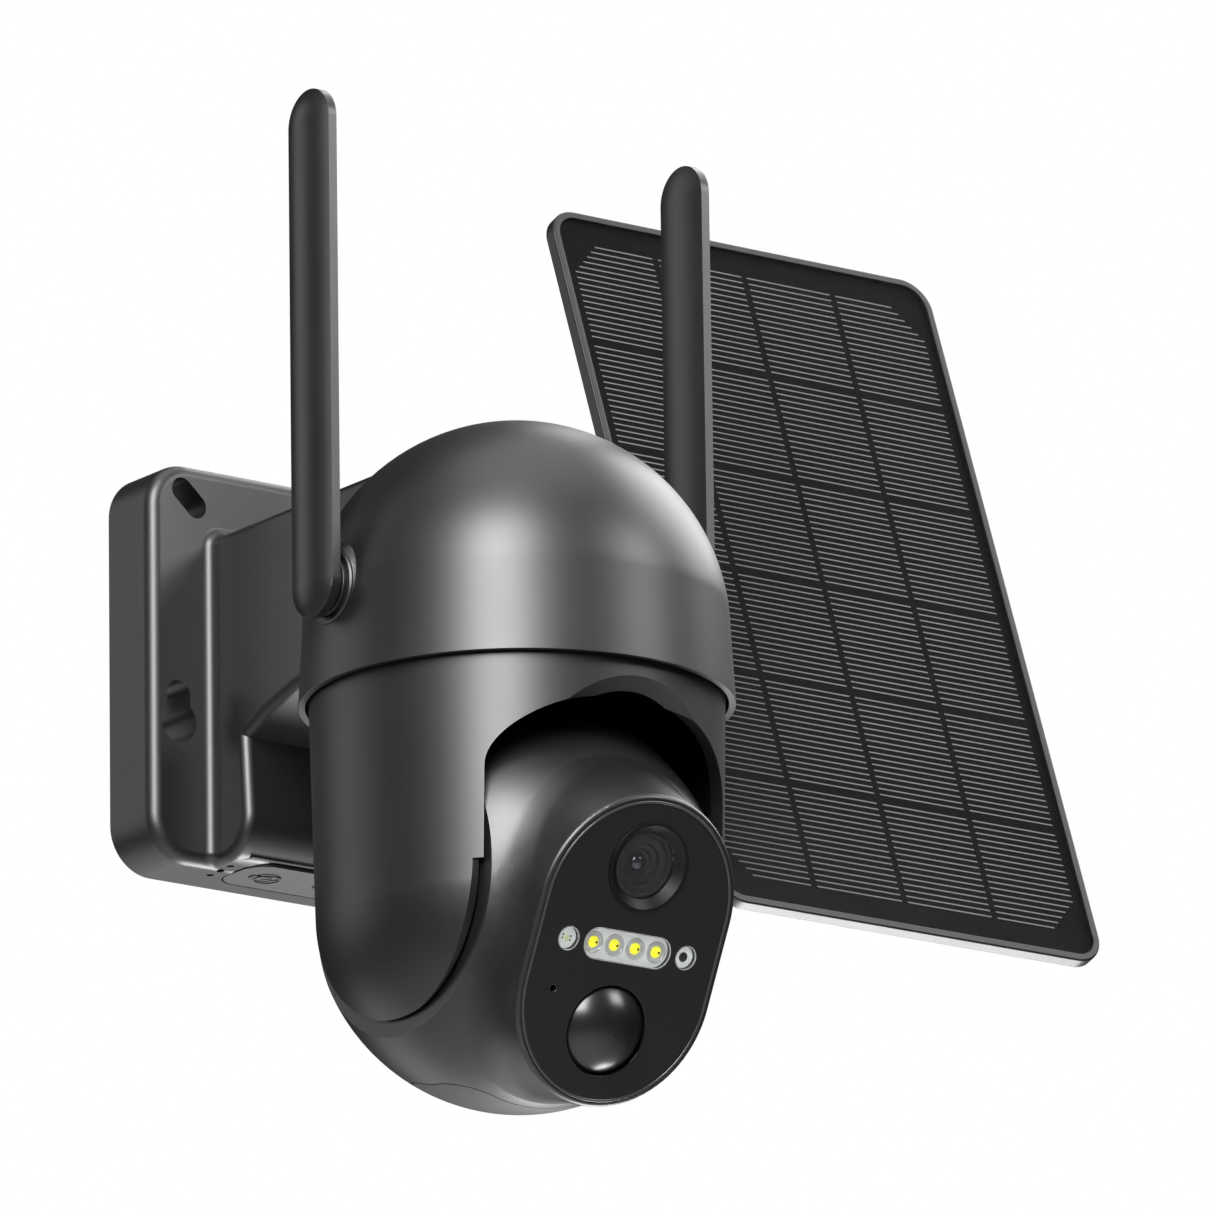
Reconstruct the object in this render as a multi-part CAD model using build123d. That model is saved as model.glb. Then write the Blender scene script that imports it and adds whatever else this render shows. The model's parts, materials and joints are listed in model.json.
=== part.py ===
"""Battery security camera on a wall base: pan yoke, tilt head, two antennas and a solar panel."""

from build123d import *
import math
import os

# Frame: origin at the centre of the wall face, +Y into the wall, -Y out of the front, +Z up.

# Wall base
base_w = 83.0
base_h = 96.0
flange_t = 17.0
flange_corner_r = 11.0
flange_edge_r = 3.2
block_w = 49.0
block_d = 31.0
block_edge_r = 2.6
block_root_r = 2.8
block_lift = 0.3
arm_top_z = 31.3
base_wall = 3.0
back_plate_t = 2.4
key_x = 33.8
key_z = -14.5
key_slot_top = -4.7
key_r = 5.0
key_slot_r = 3.3
slant_x = 30.5
slant_z = 39.8
slant_len = 5.2
slant_r = 2.9
slant_angle = -42.0

# Hood, measured from its rim plane on the pan axis
axis_out = 103.5
rim_z = -26.0
hood_rim_r = 50.0
dome_r = 49.0
dome_centre_z = 17.2
hood_wall = 2.8
hood_mouth_r = 48.3

# Pan yoke
yoke_top_r = 47.65
yoke_foot_r = 45.75
yoke_top_z = 4.5
yoke_wall = 3.0
yoke_plate_t = 3.0
tilt_axis_drop = 47.4
arm_inner_x = 33.4
arm_end_r = 30.4
arm_wall = 3.6
foot_turn_r = 37.7
foot_turn_z = -50.0
arch_w = 33.4
arch_h = 18.0
arch_top_z = -8.0
arch_chamfer = 5.0

# Tilt head, measured from the tilt axis with the face level
head_r = 47.0
head_side_x = 32.4
head_wall = 2.4
head_split_y = 16.0
face_y = 44.7
nose_w = 52.4
nose_h = 72.4
nose_z = 0.9
nose_depth = 24.0
nose_taper = 9.0
nose_blend_r = 24.0
plate_w = 48.4
plate_h = 68.6
plate_t = 2.0
trim_w = 0.7
lens_z = 20.6
lens_r = 10.5
lens_window_r = 7.7
lens_eye_r = 2.4
led_z = 1.7
led_window_w = 23.9
led_window_h = 7.3
led_pitch = 5.8
side_window_x = 16.3
side_window_r = 2.75
pir_z = -17.6
pir_r = 10.2
mic_x = -17.0
mic_z = -10.1
rest_tilt = 26.2

# Gears
gear_module = 0.8
pan_teeth = 60
tilt_teeth = 36
pinion_teeth = 12
gear_t = 3.2
backlash = 0.16

# Antennas
antenna_y = 4.0
antenna_z = 22.0
antenna_reach = 117.3
antenna_half_w = 8.0
antenna_inner_x = 50.5
antenna_edge_t = 2.2
antenna_inner_sag = 1.4
antenna_crown_r = 13.6
socket_r = 8.7
socket_flare_r = 10.8
knuckle_r = 7.0
pin_r = 2.4

# Solar panel and bracket
panel_x = 119.7
panel_y = 40.0
panel_z = 57.7
panel_w = 113.0
panel_h = 194.0
panel_t = 3.2
panel_corner_r = 8.0
panel_border = 1.9
panel_lean = 19.2
panel_hinge_back = 22.0
bracket_disc_r = 24.0
bracket_post_r = 9.0
swivel_back = 22.0

# Clearances
run_fit = 0.06
seat_gap = 0.1
part_gap = 0.3

HOOD = Pos(0, -axis_out, rim_z)
HEAD = HOOD * Pos(0, 0, -tilt_axis_drop) * Rot(rest_tilt, 0, 0)
parts = {}


def cyl_z(radius, z0, z1, x=0.0, y=0.0):
    return Pos(x, y, (z0 + z1) / 2) * Cylinder(radius, z1 - z0)


def cyl_x(radius, x0, x1, y=0.0, z=0.0):
    return Pos((x0 + x1) / 2, y, z) * Rot(0, 90, 0) * Cylinder(radius, abs(x1 - x0))


def cyl_y(radius, y0, y1, x=0.0, z=0.0):
    return Pos(x, (y0 + y1) / 2, z) * Rot(90, 0, 0) * Cylinder(radius, abs(y1 - y0))


def block(x0, x1, y0, y1, z0, z1):
    centre = Pos((x0 + x1) / 2, (y0 + y1) / 2, (z0 + z1) / 2)
    return centre * Box(abs(x1 - x0), abs(y1 - y0), abs(z1 - z0))


def rounded_plate(width, height, radius, y0, y1, x=0.0, z=0.0):
    """Rounded rectangle seen from the front, from depth y0 back to y1 (y1 > y0)."""
    outline = Plane.XZ * RectangleRounded(width, height, radius)
    return Pos(x, y1, z) * extrude(outline, y1 - y0)


def stadium(width, height, y0, y1, x=0.0, z=0.0, taper=0.0):
    """Racetrack outline seen from the front; it widens towards the back when tapered."""
    along = (0, 0, 1) if height > width else (1, 0, 0)
    outline = SlotOverall(max(width, height), min(width, height))
    front = Plane(origin=(x, y0, z), x_dir=along, z_dir=(0, 1, 0))
    return extrude(front * outline, y1 - y0, taper=-taper)


def side_profile(points, half_width):
    """Closed outline in the side view (depth, height) given to both sides of X = 0."""
    face = make_face(Polyline(*points, close=True))
    return extrude(Plane.YZ * face, half_width, both=True)


def revolved(points):
    return revolve(Plane.XZ * make_face(Polyline(*points, close=True)), Axis.Z)


def spur_gear(teeth, thick):
    """Involute spur gear about Z with a tooth centred on +X, from z = 0 up."""
    pressure = math.radians(20)
    pitch_r = gear_module * teeth / 2
    base_r = pitch_r * math.cos(pressure)
    tip_r = pitch_r + 0.7 * gear_module
    root_r = pitch_r - 1.1 * gear_module
    involute = math.tan(pressure) - pressure
    half_tooth = (math.pi * gear_module / 2 - backlash) / 2 / pitch_r
    flank = [(root_r, half_tooth + involute)]
    start_r = max(base_r, root_r)
    for step in range(5):
        radius = start_r + (tip_r - start_r) * step / 4
        turn = math.sqrt(max((radius / base_r) ** 2 - 1, 0.0))
        flank.append((radius, half_tooth + involute - (turn - math.atan(turn))))
    points = []
    for tooth in range(teeth):
        centre = 2 * math.pi * tooth / teeth
        for radius, angle in flank:
            points.append((radius * math.cos(centre - angle), radius * math.sin(centre - angle)))
        for radius, angle in reversed(flank):
            points.append((radius * math.cos(centre + angle), radius * math.sin(centre + angle)))
    return extrude(make_face(Polyline(*points, close=True)), thick)


def both_sides(shape):
    return shape, mirror(shape, Plane.YZ)


# Hood
def dome_solid(radius, mouth_points):
    """Solid of revolution: a true quarter arc over the mouth outline."""
    top = (0, dome_centre_z + radius)
    mid_angle = math.radians(45)
    mid = (radius * math.sin(mid_angle), dome_centre_z + radius * math.cos(mid_angle))
    end = (radius, dome_centre_z)
    edges = [ThreePointArc(top, mid, end)]
    chain = [end] + mouth_points + [(0, mouth_points[-1][1])]
    for a, b in zip(chain, chain[1:]):
        edges.append(Line(a, b))
    edges.append(Line(chain[-1], top))
    return revolve(Plane.XZ * make_face(edges), Axis.Z)


dome_inner_r = dome_r - hood_wall
hood_outer = dome_solid(dome_r, [(hood_rim_r, 0)])
hood_inner = dome_solid(
    dome_inner_r, [(dome_inner_r, 9.5), (hood_mouth_r - 0.2, 7.5), (hood_mouth_r, -0.01)]
)
hood = hood_outer - hood_inner
hood -= block(-14, 14, 25, 60, 22, 44)
for side in (-1, 1):
    hood -= cyl_x(socket_r, side * 38, side * 52, antenna_y, antenna_z)
chassis_z0 = 10.5
chassis_z1 = 13.0
bearing_r = 13.0
hub_r = 9.0
pan_distance = gear_module * (pan_teeth + pinion_teeth) / 2
pan_gear_z = yoke_top_z + 0.7
motor_shaft_r = 1.9
pinion_x = -pan_distance * math.sin(math.radians(45))
pinion_y = -pan_distance * math.cos(math.radians(45))
chassis = cyl_z(dome_inner_r - seat_gap, chassis_z0, chassis_z1)
chassis -= cyl_z(bearing_r, chassis_z0 - 1, chassis_z1 + 1)
chassis -= cyl_z(motor_shaft_r + part_gap, chassis_z0 - 1, chassis_z1 + 1, pinion_x, pinion_y)
for side in (-1, 1):
    chassis -= block(side * 36, side * 50, antenna_y - 11, antenna_y + 11, 10, 14)
    chassis += cyl_z(2.6, chassis_z1, chassis_z1 + 6, side * 22, 22)
bearing = cyl_z(bearing_r, pan_gear_z + gear_t + 1.3, chassis_z1 + 0.5)
bearing -= cyl_z(hub_r + run_fit, 0, 40)
pan_motor = cyl_z(12, chassis_z1, chassis_z1 + 18, pinion_x + 1.5, pinion_y + 1.5)
pan_motor += block(
    pinion_x - 3.5, pinion_x + 6.5, pinion_y - 15, pinion_y + 18, chassis_z1, chassis_z1 + 1.2
)
pan_motor -= cyl_z(motor_shaft_r + run_fit, chassis_z1 - 1, chassis_z1 + 8, pinion_x, pinion_y)
radio_board = block(-26, 26, 16, 28, chassis_z1 + 6, chassis_z1 + 7.6)



def socket_flare(side):
    """Ring outside the hood that spreads from the socket's mouth down onto the dome."""
    cone = Cone(socket_flare_r, socket_r - 0.5, 49.6 - 46.0)
    cone = Pos(side * (49.6 + 46.0) / 2, antenna_y, antenna_z) * Rot(0, side * 90, 0) * cone
    cone -= cyl_x(knuckle_r + part_gap, side * 40, side * 52, antenna_y, antenna_z)
    return cone - hood_outer


sockets = []
for side in (-1, 1):
    cup = cyl_x(socket_r, side * 38.5, side * 49.2, antenna_y, antenna_z)
    cup -= cyl_x(knuckle_r + part_gap, side * 41, side * 50, antenna_y, antenna_z)
    cup -= cyl_x(pin_r + run_fit, side * 38, side * 42, antenna_y, antenna_z)
    cup += socket_flare(side)
    sockets.append(cup)

# Wall base
bottom_z = -base_h / 2
flange = rounded_plate(base_w, base_h, flange_corner_r, -flange_t, 0)
flange = fillet(flange.faces().sort_by(Axis.Y)[0].edges(), flange_edge_r)


def arm_side(inset, back_y, front_y):
    """Side outline of the block and arm, drawn inset from the outer skin."""
    curve = 10.0 - inset
    front = -block_d + inset
    low = bottom_z + block_lift + inset
    points = [(back_y, low), (front + curve, low)]
    for step in range(1, 7):
        angle = math.radians(15 * step)
        points.append(
            (front + curve - curve * math.sin(angle), low + curve - curve * math.cos(angle))
        )
    points += [
        (front + 1.2, -19.7 + inset * 0.2),
        (-38.3 + inset * 0.3, -15.8 + inset),
        (-49.0, -12.6 + inset),
        (-58.0, -11.2 + inset),
        (front_y, -10.8 + inset),
        (front_y, arm_top_z - inset),
        (back_y, arm_top_z - inset),
    ]
    return points


arm_solid = side_profile(arm_side(0, -8, -80), block_w / 2)
long_edges = []
for face in (arm_solid.faces().sort_by(Axis.X)[0], arm_solid.faces().sort_by(Axis.X)[-1]):
    for edge in face.edges():
        middle = edge.center()
        if middle.Y < -9 and middle.Y > -79:
            long_edges.append(edge)
arm_solid = fillet(long_edges, block_edge_r)
base = flange + arm_solid
root = [
    e
    for e in base.edges()
    if abs(e.center().Y + flange_t) < 0.05
    and abs(e.center().X) < block_w / 2 + 0.1
    and e.center().Z > bottom_z + 4
]
base = fillet(root, block_root_r)
base -= HOOD * hood_outer
cavity = rounded_plate(
    base_w - 2 * base_wall,
    base_h - 2 * base_wall,
    flange_corner_r - base_wall,
    -flange_t + base_wall,
    1,
)
cavity += side_profile(arm_side(base_wall, 0, -79), block_w / 2 - base_wall)
base -= cavity
base += cavity & (
    block(-base_w, base_w, -flange_t + 2, -back_plate_t, key_z - 8, key_slot_top + 5)
    & (block(-base_w, -key_x + 8.4, -20, 0, -60, 60) + block(key_x - 8.4, base_w, -20, 0, -60, 60))
)
for side in (-1, 1):
    corner = block(side * (slant_x - 8), side * base_w, -flange_t + 2, -back_plate_t, 31, 60)
    base += cavity & corner


def wall_holes():
    tools = []
    for side in (-1, 1):
        round_part = cyl_y(key_r, -60, 20, side * key_x, key_z)
        slot = stadium(2 * key_slot_r, key_slot_top - key_z + key_slot_r, -60, 20,
                       side * key_x, (key_slot_top + key_z - key_slot_r) / 2)
        slant = Plane.XZ * SlotCenterToCenter(slant_len, 2 * slant_r)
        slant = extrude(Rot(0, side * slant_angle, 0) * slant, 80, both=True)
        tools += [round_part, slot, Pos(side * slant_x, 0, slant_z) * slant]
    return tools


for tool in wall_holes():
    base -= tool

# Underside: pocket for the rubber cover, its port and button, and a row of sound holes
cover_w = 34.0
cover_d = 18.0
cover_t = 1.5
cover_y = -15.2
cover_hinge_x = cover_w / 2 - cover_t / 2
port_y = cover_y


def cover_outline(grow, z0, z1):
    half_d = cover_d / 2 + grow
    body = block(-5, cover_w / 2 + grow, cover_y - half_d, cover_y + half_d, z0, z1)
    body += Pos(-cover_w / 2 + 9, cover_y, (z0 + z1) / 2) * extrude(
        RectangleRounded(18 + 2 * grow, cover_d + 2 * grow, 6 + grow), (z1 - z0) / 2, both=True
    )
    return body


base += block(-19.5, 19.5, -26, -3.0, bottom_z + 1, bottom_z + 4.4)
base -= cover_outline(part_gap, bottom_z - 1, bottom_z + cover_t + 0.15)
base -= block(-9.0, 1.0, port_y - 2.2, port_y + 2.2, bottom_z, bottom_z + 8)
base -= cyl_z(2.9, bottom_z, bottom_z + 8, 8.5, port_y)
for row in range(3):
    base -= cyl_z(0.9, bottom_z - 1, bottom_z + 6, -20.6, -10.4 - 4.1 * row)
port_cover = cover_outline(0, bottom_z, bottom_z + cover_t)
port_cover -= block(cover_hinge_x, 30, -60, 20, bottom_z - 1, bottom_z + 5)
barrel_z = bottom_z + cover_t / 2
barrel = cyl_y(cover_t / 2, cover_y - cover_d / 2, cover_y + cover_d / 2, cover_hinge_x, barrel_z)
port_cover += barrel
port_cover += block(-12.5, -7.5, cover_y - 1.2, cover_y + 1.2, bottom_z - 0.35, bottom_z)

plate_gap = 2 * base_wall + 2 * seat_gap
back_plate = rounded_plate(
    base_w - plate_gap, base_h - plate_gap, flange_corner_r - base_wall - seat_gap, -back_plate_t, 0
)
for tool in wall_holes():
    back_plate -= tool

cell_r = 9.2
cell_y = -back_plate_t - 3.0 - cell_r
cells = [cyl_z(cell_r, -39, 26, side * 9.7, cell_y) for side in (-1, 1)]
cells = [c + cyl_z(3.2, 26, 27, side * 9.7, cell_y) for c, side in zip(cells, (-1, 1))]
tray = block(-19, 19, -back_plate_t - 3.0, -back_plate_t, -39.5, 27.0)
tray += block(-19, 19, cell_y - 4, -back_plate_t, -41.0, -39.0)
board_z = bottom_z + 5.8
charge_board = block(-14, 14, port_y - 8, port_y + 8, board_z, board_z + 1.2)
charge_port = block(-8.5, 0.5, port_y - 1.7, port_y + 1.7, bottom_z + 2.2, board_z)
charge_port -= block(-7.3, -0.7, port_y - 0.9, port_y + 0.9, bottom_z, bottom_z + 5)
speaker = block(-30, -20.0, -13.6, -4, bottom_z + base_wall, bottom_z + 8)
speaker -= cyl_z(3.6, bottom_z, bottom_z + 4, -25.6, -8.8)
button_slide = cyl_z(2.55, bottom_z + 2.3, bottom_z + 5.1, 8.5, port_y)
button_slide += cyl_z(3.6, bottom_z + 4.5, bottom_z + 5.1, 8.5, port_y)

parts["base_housing"] = base
parts["base_back_plate"] = back_plate
parts["battery_cells"] = Compound(cells)
parts["battery_tray"] = tray
parts["charge_board"] = charge_board
parts["charge_port"] = charge_port
parts["speaker"] = speaker
parts["port_cover"] = port_cover
parts["power_button"] = button_slide
parts["hood"] = HOOD * hood
parts["hood_chassis"] = HOOD * chassis
parts["pan_bearing"] = HOOD * bearing
parts["pan_motor"] = HOOD * pan_motor
parts["radio_board"] = HOOD * radio_board
parts["antenna_socket_left"] = HOOD * sockets[0]
parts["antenna_socket_right"] = HOOD * sockets[1]

# Antennas
for side, name in ((-1, "left"), (1, "right")):
    tip_z = antenna_z + antenna_reach - antenna_half_w
    inner_edge = antenna_inner_x + antenna_inner_sag
    outline = Plane.YZ * (
        Pos(antenna_y, (antenna_z + tip_z) / 2)
        * SlotCenterToCenter(tip_z - antenna_z, 2 * antenna_half_w, rotation=90)
    )
    paddle = extrude(outline, 20)
    paddle = Pos(antenna_inner_x, 0, 0) * paddle
    core_x = inner_edge + antenna_edge_t - math.sqrt(antenna_crown_r**2 - antenna_half_w**2)
    crown = cyl_z(antenna_crown_r, antenna_z, tip_z, core_x, antenna_y)
    crown += Pos(core_x, antenna_y, antenna_z) * Sphere(antenna_crown_r)
    crown += Pos(core_x, antenna_y, tip_z) * Sphere(antenna_crown_r)
    paddle = paddle & crown
    inner_r = (antenna_half_w**2 + antenna_inner_sag**2) / (2 * antenna_inner_sag)
    hollow_x = antenna_inner_x + inner_r
    swell = cyl_z(inner_r, antenna_z, tip_z, hollow_x, antenna_y)
    swell += Pos(hollow_x, antenna_y, antenna_z) * Sphere(inner_r)
    swell += Pos(hollow_x, antenna_y, tip_z) * Sphere(inner_r)
    paddle = paddle & swell
    knuckle = cyl_x(knuckle_r, 41.3, antenna_inner_x, antenna_y, antenna_z)
    knuckle += cyl_x(pin_r, 36.0, 42.0, antenna_y, antenna_z)
    knuckle += cyl_x(3.6, 37.0, 38.4, antenna_y, antenna_z)
    paddle += cyl_x(knuckle_r - 0.6, antenna_inner_x, inner_edge + 1, antenna_y, antenna_z)
    if side < 0:
        paddle = mirror(paddle, Plane.YZ)
        knuckle = mirror(knuckle, Plane.YZ)
    parts["antenna_" + name] = HOOD * paddle
    parts["antenna_knuckle_" + name] = HOOD * knuckle

# Pan yoke
foot_z = -tilt_axis_drop - arm_end_r - 0.5


def yoke_cone(inset, z0, z1):
    """The yoke's outer cone over a foot that turns in under it, all drawn inset by some wall."""
    slope = (yoke_top_r - yoke_foot_r) / (yoke_top_z - foot_z)
    turn_r = yoke_foot_r + (foot_turn_z - foot_z) * slope - inset
    top_r = turn_r + (z1 - foot_turn_z) * slope
    radius = foot_turn_r - inset
    lean_in = math.atan(slope)
    centre_r = turn_r - radius * math.cos(lean_in)
    centre_z = foot_turn_z + radius * math.sin(lean_in)
    end_angle = math.asin((centre_z - z0) / radius)
    mid_angle = (end_angle + lean_in) / 2
    start = (turn_r, foot_turn_z)
    middle = (centre_r + radius * math.cos(mid_angle), centre_z - radius * math.sin(mid_angle))
    end = (centre_r + radius * math.cos(end_angle), z0)
    edges = [
        Line((0, z1), (top_r, z1)),
        Line((top_r, z1), start),
        ThreePointArc(start, middle, end),
        Line(end, (0, z0)),
        Line((0, z0), (0, z1)),
    ]
    return revolve(Plane.XZ * make_face(edges), Axis.Z)


def side_outline(radius):
    upper = block(-60, 60, -60, 60, -tilt_axis_drop, 30)
    return upper + cyl_x(radius, -60, 60, 0, -tilt_axis_drop)


arch_base_z = arch_top_z - arch_h
arch_face = Plane.XZ * (Pos(0, arch_base_z) * Ellipse(arch_w, arch_h))
arch = extrude(arch_face, 60) + block(-arch_w, arch_w, -60, 60, foot_z - 5, arch_base_z)
yoke = yoke_cone(0, foot_z, yoke_top_z) & side_outline(arm_end_r)
yoke -= arch
hollow = yoke_cone(yoke_wall, foot_z, yoke_top_z - yoke_plate_t) & side_outline(
    arm_end_r - arm_wall
)
yoke -= hollow
yoke -= cyl_z(hub_r, -10, 20)
mouth_plane = Plane(origin=(0, -yoke_top_r - 0.5, arch_base_z), x_dir=(1, 0, 0), z_dir=(0, 1, 0))
mouth = mouth_plane * Ellipse(arch_w + 1.0, arch_h + arch_chamfer)
yoke -= extrude(mouth, arch_chamfer, taper=44)
cover_x1 = arm_inner_x + 2.0
arm_cover = yoke_cone(yoke_wall + seat_gap, foot_z, arch_base_z - 1) & side_outline(
    arm_end_r - arm_wall - seat_gap
)
arm_cover = arm_cover & block(arm_inner_x, cover_x1, -60, 60, -100, 30)
axle_r = 5.0
arm_cover -= cyl_x(axle_r, 30, 40, 0, -tilt_axis_drop)
axle = cyl_x(axle_r, 24.2, 38.0) + cyl_x(8.0, head_side_x + 0.2, arm_inner_x)
axle += cyl_x(7.0, cover_x1, cover_x1 + 1.5)
axle -= cyl_x(2.6, 20, 40)
axle = Pos(0, 0, -tilt_axis_drop) * axle
arm_cover_right, arm_cover_left = both_sides(arm_cover)
axle_right, axle_left = both_sides(axle)
tilt_gear_x = 24.6
tilt_distance = gear_module * (tilt_teeth + pinion_teeth) / 2
tilt_gear = spur_gear(tilt_teeth, gear_t)
tilt_gear -= cyl_z(axle_r, -1, 10)
mesh_angle = 45.0
# The gear turns with the yoke and the pinion sits above and behind the axle in the head
gear_frame = Pos(tilt_gear_x, 0, 0) * Rot(0, 90, 0)
tilt_gear = gear_frame * Rot(0, 0, 180 - mesh_angle) * tilt_gear

hub = cyl_z(hub_r, yoke_top_z - yoke_plate_t, 24.0)
hub += cyl_z(12.0, yoke_top_z, pan_gear_z)
hub += cyl_z(12.0, yoke_top_z - yoke_plate_t - 1.4, yoke_top_z - yoke_plate_t)
hub -= cyl_z(5.4, -10, 40)
pan_gear = spur_gear(pan_teeth, gear_t)
pan_gear += cyl_z(11.5, gear_t - 0.01, gear_t + 1.2)
pan_gear -= cyl_z(hub_r, -1, 10)
for spoke in range(6):
    pan_gear -= Rot(0, 0, 60 * spoke + 15) * cyl_z(3.6, -1, 10, 17)
pan_gear = Pos(0, 0, pan_gear_z) * Rot(0, 0, 225) * pan_gear
collar = cyl_z(12.5, chassis_z1 + 0.6, chassis_z1 + 4) - cyl_z(hub_r, 0, 40)

parts["yoke_shell"] = HOOD * yoke
parts["yoke_hub"] = HOOD * hub
parts["pan_gear"] = HOOD * pan_gear
parts["hub_collar"] = HOOD * collar
parts["arm_cover_left"] = HOOD * arm_cover_left
parts["arm_cover_right"] = HOOD * arm_cover_right
parts["tilt_axle_left"] = HOOD * axle_left
parts["tilt_axle_right"] = HOOD * axle_right
parts["tilt_gear"] = HEAD * tilt_gear

pan_pinion = spur_gear(pinion_teeth, gear_t + 0.6)
pan_pinion = Rot(0, 0, 45 + 180 / pinion_teeth) * pan_pinion
pan_pinion += cyl_z(motor_shaft_r, 0, chassis_z1 - pan_gear_z + 7)
parts["pan_pinion"] = HOOD * Pos(pinion_x, pinion_y, pan_gear_z - 0.3) * pan_pinion

# Tilt head

def head_ball(radius):
    """Ball whose poles are on the tilt axis and whose seam is at the back."""
    return Rot(90, 0, 0) * Rot(0, 90, 0) * Sphere(radius)


pinion_dir = (math.cos(math.radians(mesh_angle)), math.sin(math.radians(mesh_angle)))
tilt_pinion_y = tilt_distance * pinion_dir[0]
tilt_pinion_z = tilt_distance * pinion_dir[1]
nose = stadium(nose_w, nose_h, -face_y, -face_y + nose_depth, 0, nose_z, nose_taper)
rim_edges = nose.faces().sort_by(Axis.Y)[0].edges()
nose = fillet(rim_edges, 1.2)
skin = head_ball(head_r) + nose


def on_ball(edge):
    spots = [edge @ step for step in (0, 0.25, 0.5, 0.75, 1)]
    return all(abs(spot.length - head_r) < 0.01 for spot in spots)


blend_edges = [e for e in skin.edges() if on_ball(e) and abs(e.center().Y) > 1]
skin = fillet(blend_edges, nose_blend_r)
shell = skin & block(-head_side_x, head_side_x, -60, 60, -60, 60)
room = head_ball(head_r - head_wall) & block(
    -head_side_x + head_wall, head_side_x - head_wall, -60, 60, -60, 60
)
front_wall_y = -face_y + 2.6
room += stadium(nose_w - 6, nose_h - 6, front_wall_y + 2.2, -20, 0, nose_z, nose_taper) & block(
    -29, 29, -60, 60, -60, 60
)
room = room - block(-60, 60, -60, front_wall_y + 2.2, -60, 60)
shell -= room
shell -= stadium(plate_w + 2 * trim_w + 0.3, plate_h + 2 * trim_w + 0.3, -60, front_wall_y, 0, nose_z)
barrel_r = 7.4
for side in (-1, 1):
    shell -= cyl_x(7.5, side * 29, side * 35)
shell -= cyl_y(barrel_r + 0.4, -60, -38, 0, lens_z)
shell -= stadium(28, 8.6, -60, -38, 0, led_z)
for side in (-1, 1):
    shell -= cyl_y(2.9, -60, -38, side * side_window_x, led_z)
shell -= cyl_y(pir_r - 1.2, -60, -38, 0, pir_z)
shell -= cyl_y(0.8, -60, -38, mic_x, mic_z)
plug_y = -10.0
plug_w = 38.0
plug_d = 25.0


def plug_prism(grow, z0, z1):
    outline = RectangleRounded(plug_w + 2 * grow, plug_d + 2 * grow, 9 + grow)
    return Pos(0, plug_y, z0) * extrude(outline, z1 - z0)


pocket_floor = -head_r + 5.6
shell += room & plug_prism(2.0, -48, pocket_floor + 5.2) & (head_ball(head_r - 1) - head_ball(head_r - 7.0))
plug_zone = plug_prism(0, -60, -20) & (head_ball(head_r) - head_ball(head_r - 1.6))
shell -= plug_prism(part_gap, -60, -20) - head_ball(head_r - 1.6 - 0.1)
shell -= block(-9.0, -1.0, plug_y - 1.4, plug_y + 1.4, -60, -30)
shell -= cyl_z(2.4, -60, -30, 8.0, plug_y)
shell -= block(-12.3, -0.2, plug_y - 5.3, plug_y + 5.3, pocket_floor + 3.0, -30)
front_shell = shell & block(-60, 60, -60, head_split_y, -60, 60)
rear_shell = shell & block(-60, 60, head_split_y, 60, -60, 60)
plug = plug_zone

face_trim = stadium(plate_w + 2 * trim_w, plate_h + 2 * trim_w, -face_y - 0.35, front_wall_y, 0, nose_z)
face_trim -= stadium(plate_w + 0.1, plate_h + 0.1, -60, 0, 0, nose_z)
face_plate = stadium(plate_w, plate_h, -face_y - 0.1, front_wall_y, 0, nose_z)
face_plate -= cyl_y(lens_r, -60, -30, 0, lens_z)
face_plate -= stadium(led_window_w, led_window_h, -60, -30, 0, led_z)
face_plate -= cyl_y(pir_r + part_gap, -60, -30, 0, pir_z)
face_plate -= cyl_y(0.8, -60, -30, mic_x, mic_z)
for side in (-1, 1):
    face_plate -= cyl_y(side_window_r, -60, -30, side * side_window_x, led_z)

ring_points = [
    (lens_r, front_wall_y),
    (lens_r, -face_y - 0.5),
    (lens_r - 0.8, -face_y - 0.5),
    (lens_window_r, -face_y + 1.3),
    (lens_window_r, front_wall_y),
]
lens_ring = Pos(0, 0, lens_z) * revolve(
    Plane.XY * make_face(Polyline(*ring_points, close=True)), Axis.Y
)
lens_glass = cyl_y(lens_window_r, -face_y + 1.3, -face_y + 2.2, 0, lens_z)
barrel_front_y = -face_y + 2.3
eye_y = barrel_front_y + 3.0
barrel_points = [
    (lens_eye_r + seat_gap, -24),
    (barrel_r, -24),
    (barrel_r, barrel_front_y),
    (barrel_r - 0.8, barrel_front_y),
    (barrel_r - 1.1, barrel_front_y + 0.7),
    (4.9, barrel_front_y + 0.9),
    (4.5, barrel_front_y + 1.7),
    (3.5, barrel_front_y + 1.9),
    (3.1, barrel_front_y + 2.6),
    (lens_eye_r + seat_gap, barrel_front_y + 2.8),
]
lens_barrel = Pos(0, 0, lens_z) * revolve(
    Plane.XY * make_face(Polyline(*barrel_points, close=True)), Axis.Y
)
lens_element = cyl_y(lens_eye_r, eye_y, eye_y + 3.0, 0, lens_z)
lens_element += Pos(0, eye_y + 0.8, lens_z) * (Sphere(lens_eye_r) & block(-5, 5, -5, 0, -5, 5))
image_board = block(-13, 13, -24, -22.4, lens_z - 12, lens_z + 10)
image_board += block(-3.4, 3.4, -24.8, -24, lens_z - 3, lens_z + 3) & cyl_y(2.5, -26, -22, 0, lens_z)
led_board_y = -38.9
led_board = block(-19.5, 19.5, led_board_y, led_board_y + 1.4, led_z - 4.8, led_z + 4.8)
leds = []
for index in range(4):
    at = (index - 1.5) * led_pitch
    leds.append(block(at - 1.9, at + 1.9, led_board_y - 1.2, led_board_y, led_z - 1.7, led_z + 1.7))
led_window = stadium(led_window_w, led_window_h, -face_y - 0.1, -face_y + 1.2, 0, led_z)
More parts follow.
